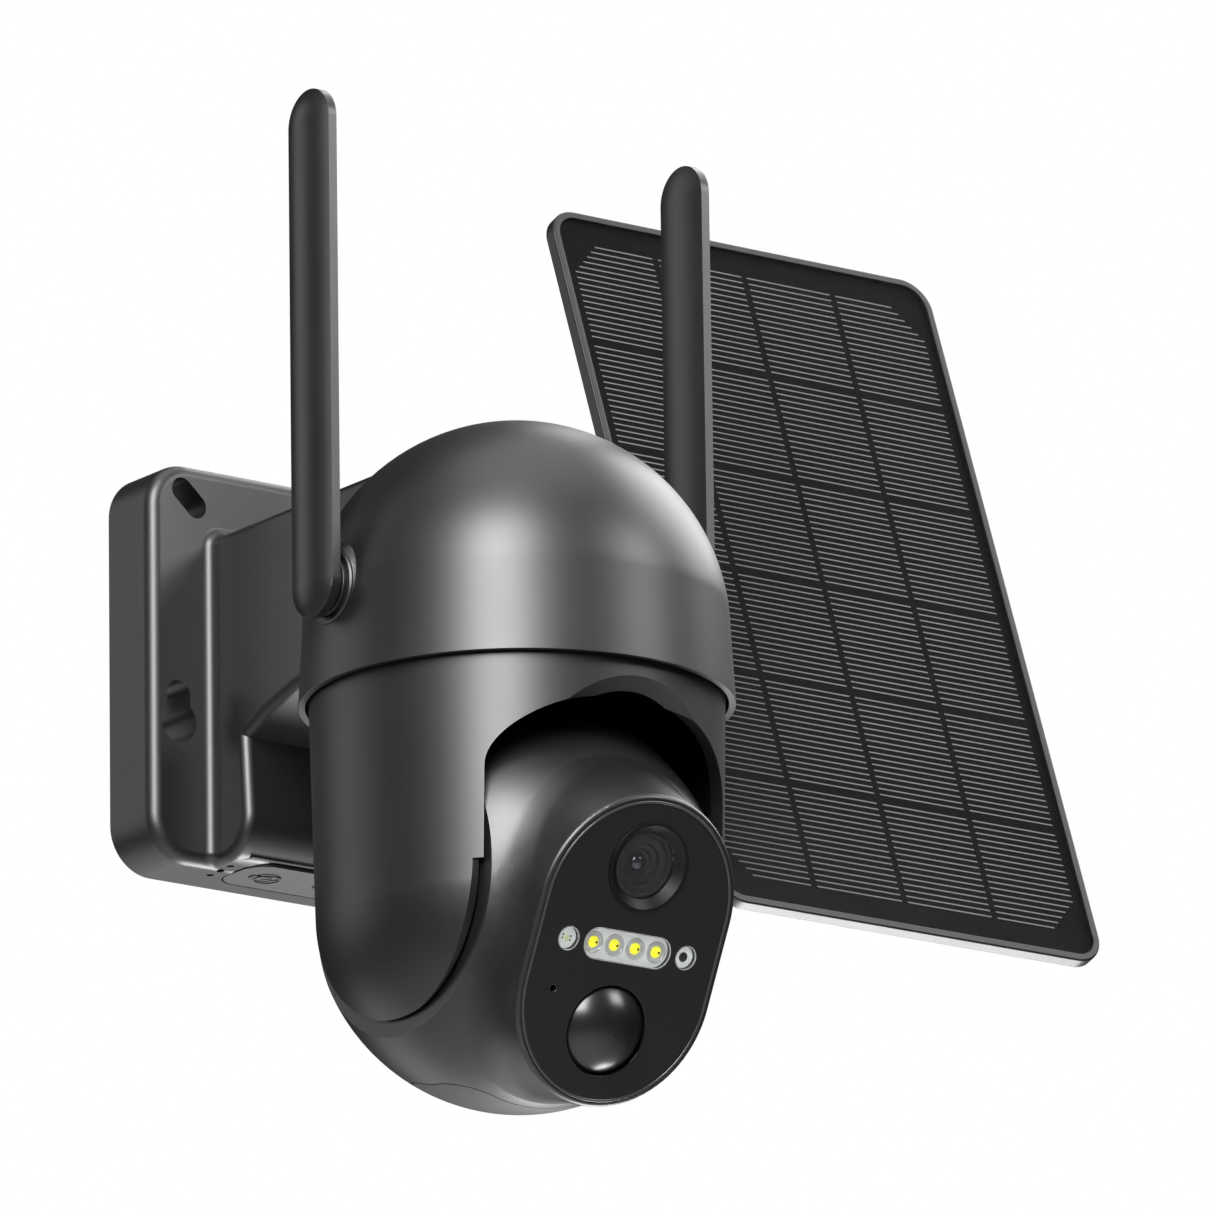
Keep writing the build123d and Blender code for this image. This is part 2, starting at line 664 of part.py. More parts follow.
side_windows = [
    cyl_y(side_window_r, -face_y - 0.1, -face_y + 1.2, side * side_window_x, led_z) for side in (-1, 1)
]
pir_sag = 5.0
pir_ball_r = (pir_r**2 + pir_sag**2) / (2 * pir_sag)
pir_back = -face_y + 0.9

pir_centre_y = pir_back + pir_ball_r - pir_sag


def pir_arc(inset):
    """Quarter outline of the motion lens, from its tip out to its rim."""
    radius = pir_ball_r - inset
    rim = pir_r - inset
    turn = math.asin(rim / radius)
    tip = (0, pir_centre_y - radius)
    middle = (radius * math.sin(turn / 2), pir_centre_y - radius * math.cos(turn / 2))
    end = (rim, pir_centre_y - radius * math.cos(turn))
    return ThreePointArc(tip, middle, end), tip, end


outer_arc, outer_tip, outer_end = pir_arc(0)
inner_arc, inner_tip, inner_end = pir_arc(1.0)
pir_edges = [
    outer_arc,
    Line(outer_end, (outer_end[0], front_wall_y)),
    Line((outer_end[0], front_wall_y), (inner_end[0], front_wall_y)),
    Line((inner_end[0], front_wall_y), inner_end),
    inner_arc,
    Line(inner_tip, outer_tip),
]
pir = Pos(0, 0, pir_z) * revolve(make_face(pir_edges), Axis.Y)
inner_wall_y = front_wall_y + 2.2
pir_sensor = block(-12, 12, inner_wall_y + 1.8, inner_wall_y + 3.2, pir_z - 9, pir_z + 9)
pir_sensor += cyl_y(4.6, inner_wall_y - 1.0, inner_wall_y + 1.8, 0, pir_z)
for side in (-1, 1):
    pir_sensor += cyl_y(1.2, inner_wall_y, inner_wall_y + 1.8, side * 10.4, pir_z)
tilt_motor = cyl_x(11, 4, tilt_gear_x - 1.0, tilt_pinion_y + 1, tilt_pinion_z + 1)
tilt_motor -= cyl_x(motor_shaft_r + run_fit, 16, 30, tilt_pinion_y, tilt_pinion_z)
rib = block(0, 4, head_split_y + 3, 42, -4, 30) & head_ball(head_r - head_wall)
motor_rib = rib - block(-60, 60, 0, 24, -60, 8)
bushing = cyl_x(7.5, 29, head_side_x) - cyl_x(axle_r + run_fit, 20, 40)
bushings = both_sides(bushing)
tilt_pinion = spur_gear(pinion_teeth, gear_t + 0.4)
tilt_pinion = Rot(0, 0, -mesh_angle + 180 / pinion_teeth) * tilt_pinion
tilt_pinion += cyl_z(motor_shaft_r, -7.0, 0.5)
tilt_pinion = Pos(tilt_gear_x - 0.2, tilt_pinion_y, tilt_pinion_z) * Rot(0, 90, 0) * tilt_pinion
card_slot = block(-12, -0.5, plug_y - 5, plug_y + 5, pocket_floor + 3.2, pocket_floor + 5.4)
reset_button = cyl_z(2.1, -head_r + 4.2, -head_r + 9.0, 8.0, plug_y)

parts["head_front_shell"] = HEAD * front_shell
parts["head_rear_shell"] = HEAD * (rear_shell + motor_rib)
parts["face_trim"] = HEAD * face_trim
parts["face_plate"] = HEAD * face_plate
parts["lens_ring"] = HEAD * lens_ring
parts["lens_glass"] = HEAD * lens_glass
parts["lens_barrel"] = HEAD * lens_barrel
parts["lens_element"] = HEAD * lens_element
parts["image_board"] = HEAD * image_board
parts["led_board"] = HEAD * led_board
parts["led_chips"] = Compound([HEAD * led for led in leds])
parts["led_window"] = HEAD * led_window
parts["side_windows"] = Compound([HEAD * w for w in side_windows])
parts["pir_lens"] = HEAD * pir
parts["pir_sensor"] = HEAD * pir_sensor
parts["tilt_motor"] = HEAD * tilt_motor
parts["tilt_bushings"] = Compound([HEAD * b for b in bushings])
parts["tilt_pinion"] = HEAD * tilt_pinion
parts["card_slot"] = HEAD * card_slot
parts["head_plug"] = HEAD * plug
parts["reset_button"] = HEAD * reset_button

# Solar panel on its own wall bracket
PANEL = Pos(panel_x, panel_y - axis_out, panel_z + rim_z) * Rot(-panel_lean, 0, 0)
lean = math.radians(panel_lean)
hinge_y = panel_y - axis_out + panel_hinge_back * math.cos(lean)
hinge_z = panel_z + rim_z - panel_hinge_back * math.sin(lean)
swivel_y = hinge_y + swivel_back
HINGE = Pos(panel_x, hinge_y, hinge_z)
SWIVEL = Pos(panel_x, swivel_y, hinge_z)

frame = rounded_plate(panel_w, panel_h, panel_corner_r, 0, panel_t)
frame = fillet(frame.faces().sort_by(Axis.Y)[0].edges(), 0.5)
recess = rounded_plate(panel_w - 2 * panel_border, panel_h - 2 * panel_border, panel_corner_r - 2, -1, 1.7)
frame -= recess
cells_sheet = rounded_plate(
    panel_w - 2 * panel_border - 0.4, panel_h - 2 * panel_border - 0.4, panel_corner_r - 2.2, 0.95, 1.7
)
glass = rounded_plate(
    panel_w - 2 * panel_border - 0.2, panel_h - 2 * panel_border - 0.2, panel_corner_r - 2.1, 0.1, 0.95
)
back_box = rounded_plate(62, 96, 8, panel_t, panel_t + 8)
back_box = fillet(back_box.faces().sort_by(Axis.Y)[-1].edges(), 2.5)
tongue_r = 7.5
tongue_half = 4.0
tongue = cyl_x(tongue_r, -tongue_half, tongue_half, panel_hinge_back, 0)
tongue += block(-tongue_half, tongue_half, panel_t + 8, panel_hinge_back, -tongue_r, tongue_r)
tongue += cyl_y(7.8, panel_t + 8, panel_t + 10.5)
screw_r = 2.5
tongue -= cyl_x(screw_r + run_fit, -10, 10, panel_hinge_back, 0)
gland = cyl_z(4.0, -56, -48.0, 0, panel_t + 4.2)
gland += cyl_z(5.0, -51, -48.0, 0, panel_t + 4.2) & block(-6, 6, panel_t, panel_t + 9, -60, -40)
gland -= cyl_z(1.9, -60, -45, 0, panel_t + 4.2)
gland = gland & block(-10, 10, panel_t, 30, -60, -40)

cheek_x0 = tongue_half + part_gap
cheek_x1 = cheek_x0 + 4.0
fork = block(-cheek_x1, cheek_x1, 11.5, swivel_back, -8, 8)
fork += block(-cheek_x1, cheek_x1, 0, 12, -8, 8) + cyl_x(8, -cheek_x1, cheek_x1)
fork -= block(-cheek_x0, cheek_x0, -20, 11.0, -20, 20)
fork -= cyl_x(screw_r + run_fit, -20, 20)
fork += cyl_z(cheek_x1, -8, 8, 0, swivel_back)
swivel_pin_r = 3.0
fork -= cyl_z(swivel_pin_r + run_fit, -20, 20, 0, swivel_back)
disc_y = -swivel_y
post = cyl_y(bracket_post_r, 13.0, disc_y - 4)
post += block(-9, 9, -1, 13.5, -13, 13) + cyl_z(9, -13, 13, 0, 0)
post -= block(-20, 20, -20, 10.8, -8.3, 8.3)
post += cyl_z(swivel_pin_r, -13, 13)
post = post - block(-20, 20, -20, -9.2, -20, 20)
disc = cyl_y(bracket_disc_r, disc_y - 5, disc_y)
disc = fillet(disc.faces().sort_by(Axis.Y)[0].edges(), 1.5)
screw_circle_r = 16.5
for index in range(3):
    angle = math.radians(90 + 120 * index)
    disc -= cyl_y(
        2.3, disc_y - 9, disc_y + 1, screw_circle_r * math.cos(angle), screw_circle_r * math.sin(angle)
    )
bracket = post + disc
knob = cyl_x(screw_r, -cheek_x1 - 1.5, cheek_x1 + 2)
knob += cyl_x(8.5, cheek_x1 + 0.1, cheek_x1 + 7.0)
knob += cyl_x(4.2, -cheek_x1 - 3.2, -cheek_x1 - 0.1)
for index in range(8):
    angle = math.radians(45 * index)
    knob -= cyl_x(1.6, cheek_x1 + 0.05, cheek_x1 + 8, 9.0 * math.cos(angle), 9.0 * math.sin(angle))

parts["panel_frame"] = PANEL * frame
parts["solar_cells"] = PANEL * cells_sheet
parts["panel_glass"] = PANEL * glass
parts["panel_back_box"] = PANEL * back_box
parts["panel_tongue"] = PANEL * tongue
parts["cable_gland"] = PANEL * gland
parts["bracket_fork"] = HINGE * fork
parts["bracket_knob"] = HINGE * knob
parts["bracket_base"] = SWIVEL * bracket

os.makedirs("parts", exist_ok=True)
for name, shape in parts.items():
    export_step(shape, "parts/" + name + ".step")
    print(name, len(shape.solids()), round(shape.volume))
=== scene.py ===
import json
import math

import bmesh
import bpy
import numpy as np
from mathutils import Matrix, Vector


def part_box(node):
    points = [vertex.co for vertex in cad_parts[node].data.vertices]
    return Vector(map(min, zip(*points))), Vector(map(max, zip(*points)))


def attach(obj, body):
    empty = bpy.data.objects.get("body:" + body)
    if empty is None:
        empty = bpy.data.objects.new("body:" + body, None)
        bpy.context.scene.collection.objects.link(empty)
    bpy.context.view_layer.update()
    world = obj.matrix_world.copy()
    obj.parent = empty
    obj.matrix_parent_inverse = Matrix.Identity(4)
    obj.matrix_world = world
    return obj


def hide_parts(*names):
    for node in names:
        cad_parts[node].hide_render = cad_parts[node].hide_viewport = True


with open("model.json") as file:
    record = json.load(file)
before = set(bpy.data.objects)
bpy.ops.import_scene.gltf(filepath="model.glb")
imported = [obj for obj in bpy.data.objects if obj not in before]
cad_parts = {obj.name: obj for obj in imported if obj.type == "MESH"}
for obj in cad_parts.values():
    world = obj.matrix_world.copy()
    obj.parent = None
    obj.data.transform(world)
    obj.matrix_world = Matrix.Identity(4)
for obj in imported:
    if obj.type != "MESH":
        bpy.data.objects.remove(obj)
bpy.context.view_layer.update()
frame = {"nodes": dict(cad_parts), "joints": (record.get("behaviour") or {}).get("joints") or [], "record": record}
nodes = frame["nodes"]
record = frame["record"]
mm = 0.001
print("stage: frame loaded")

bodyOf = {n: b for b, members in record["behaviour"]["bodies"].items() for n in members}
slotOf = {part["node"]: part["material_slot"] for part in record["subparts"]}
jointAt = {joint["name"]: joint for joint in frame["joints"]}


def centreOf(node):
    low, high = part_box(node)
    return (low + high) / 2


# Places worked out from the frame: the rim's centre, the tilt axis and how far the face looks down.
rimCentre = centreOf("hood")
rimCentre.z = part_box("hood")[0].z
tiltCentre = Vector(jointAt["tilt"]["pos_m"])
plugAxis = Vector(jointAt["plug_pull"]["axis"])
restTilt = math.atan2(plugAxis.y, -plugAxis.z)
headFrame = Matrix.Translation(tiltCentre) @ Matrix.Rotation(restTilt, 4, "X")


def newGroup(name, inputs, outputs):
    group = bpy.data.node_groups.new(name, "ShaderNodeTree")
    for label, kind, value in inputs:
        made = group.interface.new_socket(name=label, in_out="INPUT", socket_type=kind)
        made.default_value = value
    for label, kind in outputs:
        group.interface.new_socket(name=label, in_out="OUTPUT", socket_type=kind)
    start = group.nodes.new("NodeGroupInput")
    end = group.nodes.new("NodeGroupOutput")
    return group, start, end


# Adds a node; links maps an input to a socket or a value.
def add(tree, kind, links=None, **settings):
    node = tree.nodes.new(kind)
    for key, value in settings.items():
        setattr(node, key, value)
    for key, value in (links or {}).items():
        if isinstance(value, bpy.types.NodeSocket):
            tree.links.new(value, node.inputs[key])
        else:
            node.inputs[key].default_value = value
    return node


# Moulded grain: fine spark-eroded bumps over a slow unevenness of the tool.
grainGroup, gIn, gOut = newGroup(
    "moulded_grain",
    [("Grain per mm", "NodeSocketFloat", 3.0), ("Unevenness", "NodeSocketFloat", 0.25)],
    [("Height", "NodeSocketFloat"), ("Blotch", "NodeSocketFloat")],
)
tree = grainGroup
place = add(tree, "ShaderNodeTexCoord")
perMetre = add(tree, "ShaderNodeMath", {0: gIn.outputs["Grain per mm"], 1: 1000.0}, operation="MULTIPLY")
fine = add(tree, "ShaderNodeTexNoise", {"Vector": place.outputs["Object"], "Scale": perMetre.outputs[0],
                                        "Detail": 2.0, "Roughness": 0.6})
slow = add(tree, "ShaderNodeTexNoise", {"Vector": place.outputs["Object"], "Scale": 38.0, "Detail": 3.0})
lift = add(tree, "ShaderNodeMath", {0: slow.outputs["Fac"], 1: gIn.outputs["Unevenness"]},
           operation="MULTIPLY")
height = add(tree, "ShaderNodeMath", {0: fine.outputs["Fac"], 1: lift.outputs[0]}, operation="ADD")
tree.links.new(height.outputs[0], gOut.inputs["Height"])
tree.links.new(slow.outputs["Fac"], gOut.inputs["Blotch"])

# Handling: faint dust specks and soft smears that change colour and roughness a little.
wearGroup, wIn, wOut = newGroup(
    "light_handling",
    [("Base Color", "NodeSocketColor", (0.1, 0.1, 0.1, 1)), ("Roughness", "NodeSocketFloat", 0.4),
     ("Smear", "NodeSocketFloat", 0.06), ("Dust", "NodeSocketFloat", 0.03)],
    [("Base Color", "NodeSocketColor"), ("Roughness", "NodeSocketFloat")],
)
tree = wearGroup
place = add(tree, "ShaderNodeTexCoord")
cloud = add(tree, "ShaderNodeTexNoise", {"Vector": place.outputs["Object"], "Scale": 55.0, "Detail": 4.0})
speck = add(tree, "ShaderNodeTexVoronoi", {"Vector": place.outputs["Object"], "Scale": 900.0})
dots = add(tree, "ShaderNodeMapRange", {"Value": speck.outputs["Distance"], "From Min": 0.02,
                                        "From Max": 0.09, "To Min": 1.0, "To Max": 0.0})
some = add(tree, "ShaderNodeMapRange", {"Value": cloud.outputs["Fac"], "From Min": 0.5, "From Max": 0.7})
both = add(tree, "ShaderNodeMath", {0: dots.outputs[0], 1: some.outputs[0]}, operation="MULTIPLY")
amount = add(tree, "ShaderNodeMath", {0: both.outputs[0], 1: wIn.outputs["Dust"]}, operation="MULTIPLY")
tint = add(tree, "ShaderNodeMix", {"Factor": amount.outputs[0], "A": wIn.outputs["Base Color"],
                                   "B": (0.5, 0.49, 0.47, 1)}, data_type="RGBA")
centred = add(tree, "ShaderNodeMath", {0: cloud.outputs["Fac"], 1: 0.5}, operation="SUBTRACT")
swing = add(tree, "ShaderNodeMath", {0: centred.outputs[0], 1: wIn.outputs["Smear"]}, operation="MULTIPLY")
rough = add(tree, "ShaderNodeMath", {0: wIn.outputs["Roughness"], 1: swing.outputs[0]}, operation="ADD",
            use_clamp=True)
tree.links.new(tint.outputs["Result"], wOut.inputs["Base Color"])
tree.links.new(rough.outputs[0], wOut.inputs["Roughness"])


# One procedural surface: colour and roughness through handling, bumps from the grain, and an optional painted
# glow.
def surface(name, colour, roughness, grain=3.0, bump=0.006, smear=0.06, dust=0.02, metallic=0.0,
            coat=0.0, transmission=0.0, ior=1.46, alpha=1.0, painted_glow_colour=None, painted_glow=0.35, specular=0.75):
    material = bpy.data.materials.new(name)
    material.use_nodes = True
    tree = material.node_tree
    shader = tree.nodes["Principled BSDF"]
    wear = add(tree, "ShaderNodeGroup", node_tree=wearGroup)
    wear.inputs["Base Color"].default_value = (*colour, 1)
    wear.inputs["Roughness"].default_value = roughness
    wear.inputs["Smear"].default_value = smear
    wear.inputs["Dust"].default_value = dust
    tree.links.new(wear.outputs["Base Color"], shader.inputs["Base Color"])
    tree.links.new(wear.outputs["Roughness"], shader.inputs["Roughness"])
    if bump:
        grains = add(tree, "ShaderNodeGroup", node_tree=grainGroup)
        grains.inputs["Grain per mm"].default_value = grain
        relief = add(tree, "ShaderNodeBump", {"Height": grains.outputs["Height"], "Strength": 0.5,
                                              "Distance": bump * mm})
        tree.links.new(relief.outputs["Normal"], shader.inputs["Normal"])
    shader.inputs["Metallic"].default_value = metallic
    shader.inputs["Coat Weight"].default_value = coat
    shader.inputs["Transmission Weight"].default_value = transmission
    shader.inputs["IOR"].default_value = ior
    shader.inputs["Alpha"].default_value = alpha
    shader.inputs["Specular IOR Level"].default_value = specular
    # Painted glow: an emission that brightens a part which gives no light of its own
    if painted_glow_colour:
        shader.inputs["Emission Color"].default_value = (*painted_glow_colour, 1)
        shader.inputs["Emission Strength"].default_value = painted_glow
    return material


finishes = {
    "shell": surface("shell", (0.0045, 0.0045, 0.0048), 0.42, grain=3.2, bump=0.010),
    "yoke": surface("yoke", (0.0045, 0.0045, 0.0048), 0.42, grain=3.2, bump=0.010),
    "head": surface("head", (0.0045, 0.0045, 0.0048), 0.40, grain=3.2, bump=0.008),
    "antenna": surface("antenna", (0.0045, 0.0045, 0.0048), 0.38, grain=3.0, bump=0.006),
    "knuckle": surface("knuckle", (0.005, 0.005, 0.0055), 0.45),
    "face_gloss": surface("face_gloss", (0.006, 0.006, 0.0067), 0.10, bump=0.0, smear=0.04, specular=0.7),
    "trim": surface("trim", (0.03, 0.03, 0.032), 0.24, bump=0.0, smear=0.03),
    "lens": surface("lens", (0.02, 0.02, 0.03), 0.06, bump=0.0, smear=0.01, dust=0.0, coat=1.0),
    "window": surface("window", (0.9, 0.92, 0.93), 0.04, bump=0.0, smear=0.01, dust=0.0,
                      transmission=1.0, ior=1.45),
    "pir": surface("pir", (0.008, 0.008, 0.009), 0.27, bump=0.0, smear=0.03, specular=0.6),
    # Painted glow: the yellow phosphor gets a mild emission to read bright behind the window; the LEDs are not lit
    "led": surface("led", (0.92, 0.86, 0.03), 0.4, bump=0.004, dust=0.0,
                   painted_glow_colour=(0.92, 0.86, 0.02), painted_glow=0.8),
    # Painted glow: the white tray plastic gets a mild emission to read bright behind the window
    "white": surface("white", (0.80, 0.80, 0.78), 0.35, bump=0.003, painted_glow_colour=(0.8, 0.8, 0.78), painted_glow=0.42),
    "board": surface("board", (0.02, 0.11, 0.05), 0.4),
    "rubber": surface("rubber", (0.010, 0.010, 0.0105), 0.55, grain=5.0, bump=0.012, dust=0.06),
    "steel": surface("steel", (0.55, 0.55, 0.56), 0.32, bump=0.002, metallic=1.0),
    "cell": surface("cell", (0.05, 0.16, 0.36), 0.35, bump=0.002),
    "inner": surface("inner", (0.045, 0.045, 0.047), 0.5, grain=2.6, bump=0.012),
    "gear": surface("gear", (0.72, 0.69, 0.60), 0.4),
    "solar": surface("solar", (0.0025, 0.0026, 0.003), 0.3, bump=0.0, smear=0.02, dust=0.0, specular=0.15),
    "panel_glass": surface("panel_glass", (0.002, 0.002, 0.0024), 0.16, bump=0.0, smear=0.015, dust=0.0,
                           alpha=0.35, specular=0.5),
    "panel_frame": surface("panel_frame", (0.006, 0.006, 0.0065), 0.38, grain=3.0, bump=0.008, specular=0.5),
}
for name, obj in nodes.items():
    obj.data.materials.clear()
    obj.data.materials.append(finishes[slotOf[name]])
print("stage: finishes")


def sphereNormals(points, centre):
    away = points - np.array(centre)
    reach = np.linalg.norm(away, axis=1)
    return away / np.maximum(reach, 1e-9)[:, None], reach


# A cylinder's or cone's normals; slope is how fast its radius grows along the axis.
def latheNormals(points, centre, axis, slope=0.0):
    axis = np.array(axis, float)
    axis /= np.linalg.norm(axis)
    away = points - np.array(centre)
    along = away @ axis
    radial = away - along[:, None] * axis
    reach = np.linalg.norm(radial, axis=1)
    unit = radial / np.maximum(reach, 1e-9)[:, None] - slope * axis
    return unit / np.linalg.norm(unit, axis=1)[:, None], reach - slope * along


# Faces on a known round surface take that surface's own normals.
def exactNormals(mesh, shapes, tolerance=0.10 * mm):
    count = len(mesh.loops)
    normals = np.empty(count * 3)
    mesh.corner_normals.foreach_get("vector", normals)
    normals = normals.reshape(-1, 3)
    points = np.empty(len(mesh.vertices) * 3)
    mesh.vertices.foreach_get("co", points)
    points = points.reshape(-1, 3)
    corner = np.empty(count, int)
    mesh.loops.foreach_get("vertex_index", corner)
    starts = np.empty(len(mesh.polygons), int)
    totals = np.empty(len(mesh.polygons), int)
    flat = np.empty(len(mesh.polygons) * 3)
    mesh.polygons.foreach_get("loop_start", starts)
    mesh.polygons.foreach_get("loop_total", totals)
    mesh.polygons.foreach_get("normal", flat)
    owner = np.repeat(np.arange(len(totals)), totals)
    order = np.concatenate([np.arange(s, s + t) for s, t in zip(starts, totals)]) if len(totals) else []
    faceOf = np.empty(count, int)
    faceOf[order] = owner
    flat = flat.reshape(-1, 3)
    for shape in shapes:
        if "axis" in shape:
            ideal, reach = latheNormals(points, shape["centre"], shape["axis"], shape.get("slope", 0.0))
        else:
            ideal, reach = sphereNormals(points, shape["centre"])
        near = np.abs(reach - shape["radius"]) < tolerance
        cornerNear = near[corner]
        worst = np.ones(len(mesh.polygons), bool)
        np.logical_and.at(worst, faceOf, cornerNear)
        dots = np.einsum("ij,ij->i", flat[faceOf], ideal[corner])
        aligned = np.abs(dots) > math.cos(math.radians(16))
        np.logical_and.at(worst, faceOf, aligned)
        pick = worst[faceOf]
        sign = np.sign(dots)[:, None]
        normals[pick] = (ideal[corner] * sign)[pick]
        # A neighbouring bevel face takes the same normal where it meets the surface smoothly
        touched = np.zeros(len(points), bool)
        touched[corner[pick]] = True
        near = touched[corner] & ~pick
        agree = np.einsum("ij,ij->i", normals, ideal[corner] * sign) > math.cos(math.radians(34))
        blend = near & agree
        normals[blend] = (ideal[corner] * sign)[blend]
    mesh.normals_split_custom_set(normals.tolist())


# A merged copy of a CAD node with bevelled edges (mm) and weighted normals.
def worked(node, bevel=0.25, shapes=(), angle=33, segments=2, finish=None):
    mesh = bpy.data.meshes.new(node + "_mesh")
    bm = bmesh.new()
    bm.from_mesh(nodes[node].data)
    bmesh.ops.remove_doubles(bm, verts=bm.verts, dist=3e-6)
    bmesh.ops.dissolve_degenerate(bm, dist=2e-6, edges=bm.edges)
    bmesh.ops.dissolve_limit(bm, angle_limit=math.radians(0.6), verts=bm.verts, edges=bm.edges)
    if bevel:
        sharp = [e for e in bm.edges if len(e.link_faces) == 2 and e.calc_face_angle(0) > math.radians(angle)]
        bmesh.ops.bevel(bm, geom=sharp, offset=bevel * mm, offset_type="OFFSET", segments=segments,
                        profile=0.5, affect="EDGES", clamp_overlap=True, harden_normals=False)
    bmesh.ops.recalc_face_normals(bm, faces=bm.faces)
    bm.to_mesh(mesh)
    bm.free()
    mesh.polygons.foreach_set("use_smooth", [True] * len(mesh.polygons))
    mesh.set_sharp_from_angle(angle=math.radians(48))
    piece = bpy.data.objects.new("look_" + node, mesh)
    bpy.context.scene.collection.objects.link(piece)
    weigh = piece.modifiers.new("weigh", "WEIGHTED_NORMAL")
    weigh.keep_sharp = True
    weigh.weight = 60
    graph = bpy.context.evaluated_depsgraph_get()
    baked = bpy.data.meshes.new_from_object(piece.evaluated_get(graph))
    piece.modifiers.clear()
    piece.data = baked
    if shapes:
        exactNormals(baked, shapes)
    baked.materials.clear()
    baked.materials.append(finish or finishes[slotOf[node]])
    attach(piece, bodyOf[node])
    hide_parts(node)
    return piece


def ball(centre, radius):
    return {"centre": tuple(centre), "radius": radius}


def lathe(centre, axis, radius, slope=0.0):
    return {"centre": tuple(centre), "axis": tuple(axis), "radius": radius, "slope": slope}


hoodLow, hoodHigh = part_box("hood")
domeRadius = 49.0 * mm
domeCentre = Vector((rimCentre.x, rimCentre.y, hoodHigh.z - domeRadius))
hoodTaper = (49.0 - 50.0) / 17.2
up = (0, 0, 1)
hoodShapes = [
    ball(domeCentre, domeRadius),
    lathe(rimCentre, up, 50.0 * mm, hoodTaper),
]
worked("hood", bevel=0.45, shapes=hoodShapes)

headBall = ball(tiltCentre, 47.0 * mm)
yokeShapes = [lathe(rimCentre, up, 47.55 * mm, 1.9 / 82.8)]
worked("yoke_shell", bevel=0.6, shapes=yokeShapes, segments=3)
worked("head_front_shell", bevel=0.3, shapes=[headBall])
worked("head_rear_shell", bevel=0.25, shapes=[headBall])
worked("base_housing", bevel=0.4)
for side in ("left", "right"):
    worked("antenna_" + side, bevel=0.35)
    worked("antenna_socket_" + side, bevel=0.35)
    worked("antenna_knuckle_" + side, bevel=0.3)
    worked("arm_cover_" + side, bevel=0.3)
for node in ("base_back_plate", "port_cover", "face_plate", "face_trim", "panel_frame",
             "panel_back_box", "panel_tongue", "bracket_base", "bracket_fork", "bracket_knob",
             "head_plug", "cable_gland"):
    worked(node, bevel=0.2)
worked("lens_ring", bevel=0.1,
       finish=surface("lens_ring", (0.003, 0.003, 0.0034), 0.45, bump=0.0, specular=0.25))
print("stage: worked parts")

# Turns a bmesh into a piece at the origin that rides a body under a slot.
def pieceFrom(bm, name, body, slot, finish=None, matrix=None, smooth=True, angle=35):
    mesh = bpy.data.meshes.new(name + "_mesh")
    if matrix is not None:
        bm.transform(matrix)
    bmesh.ops.recalc_face_normals(bm, faces=bm.faces)
    bm.to_mesh(mesh)
    bm.free()
    if smooth:
        mesh.polygons.foreach_set("use_smooth", [True] * len(mesh.polygons))
        mesh.set_sharp_from_angle(angle=math.radians(angle))
    piece = bpy.data.objects.new(name, mesh)
    bpy.context.scene.collection.objects.link(piece)
    mesh.materials.append(finish or finishes[slot])
    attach(piece, body)
    return piece


# Revolves (radius, depth) points in mm about a local Y line through centre (x, z).
def turned(bm, profile, centre=(0, 0), steps=48):
    rings = []
    for radius, depth in profile:
        if radius < 1e-6:
            rings.append([bm.verts.new((centre[0] * mm, depth * mm, centre[1] * mm))])
            continue
        ring = []
        for k in range(steps):
            a = 2 * math.pi * k / steps
            ring.append(bm.verts.new(((centre[0] + radius * math.cos(a)) * mm, depth * mm,
                                      (centre[1] + radius * math.sin(a)) * mm)))
        rings.append(ring)
    for low, high in zip(rings, rings[1:]):
        for k in range(steps):
            n = (k + 1) % steps
            if len(low) == 1:
                bm.faces.new((low[0], high[k], high[n]))
            elif len(high) == 1:
                bm.faces.new((low[k], low[n], high[0]))
            else:
                bm.faces.new((low[k], low[n], high[n], high[k]))


# Outline (x, z) of a lying racetrack in mm.
def racetrack(width, height, grow=0.0, steps=16):
    r = height / 2 + grow
    half = (width - height) / 2
    points = []
    for k in range(steps + 1):
        a = -math.pi / 2 + math.pi * k / steps
        points.append((half + r * math.cos(a), r * math.sin(a)))
    for k in range(steps + 1):
        a = math.pi / 2 + math.pi * k / steps
        points.append((-half + r * math.cos(a), r * math.sin(a)))
    return points


def block(bm, x0, x1, y0, y1, z0, z1):
    made = bmesh.ops.create_cube(bm, size=1.0)["verts"]
    scale = Matrix.Diagonal(((x1 - x0) * mm, (y1 - y0) * mm, (z1 - z0) * mm, 1))
    shift = Matrix.Translation(((x0 + x1) / 2 * mm, (y0 + y1) / 2 * mm, (z0 + z1) / 2 * mm))
    bmesh.ops.transform(bm, matrix=shift @ scale, verts=made)


# Head frame sizes, mm: x across the face, y into the head, z up the face
face = {"front": -44.7, "ledHeight": 1.7, "ledPitch": 5.8, "trayWidth": 27.2, "trayHeight": 7.9,
        "trayFront": -42.9, "cupRadius": 2.55, "phosphorRadius": 1.35, "sideX": 16.3,
        "windowWidth": 23.9, "windowHeight": 7.3, "lensHeight": 20.6}

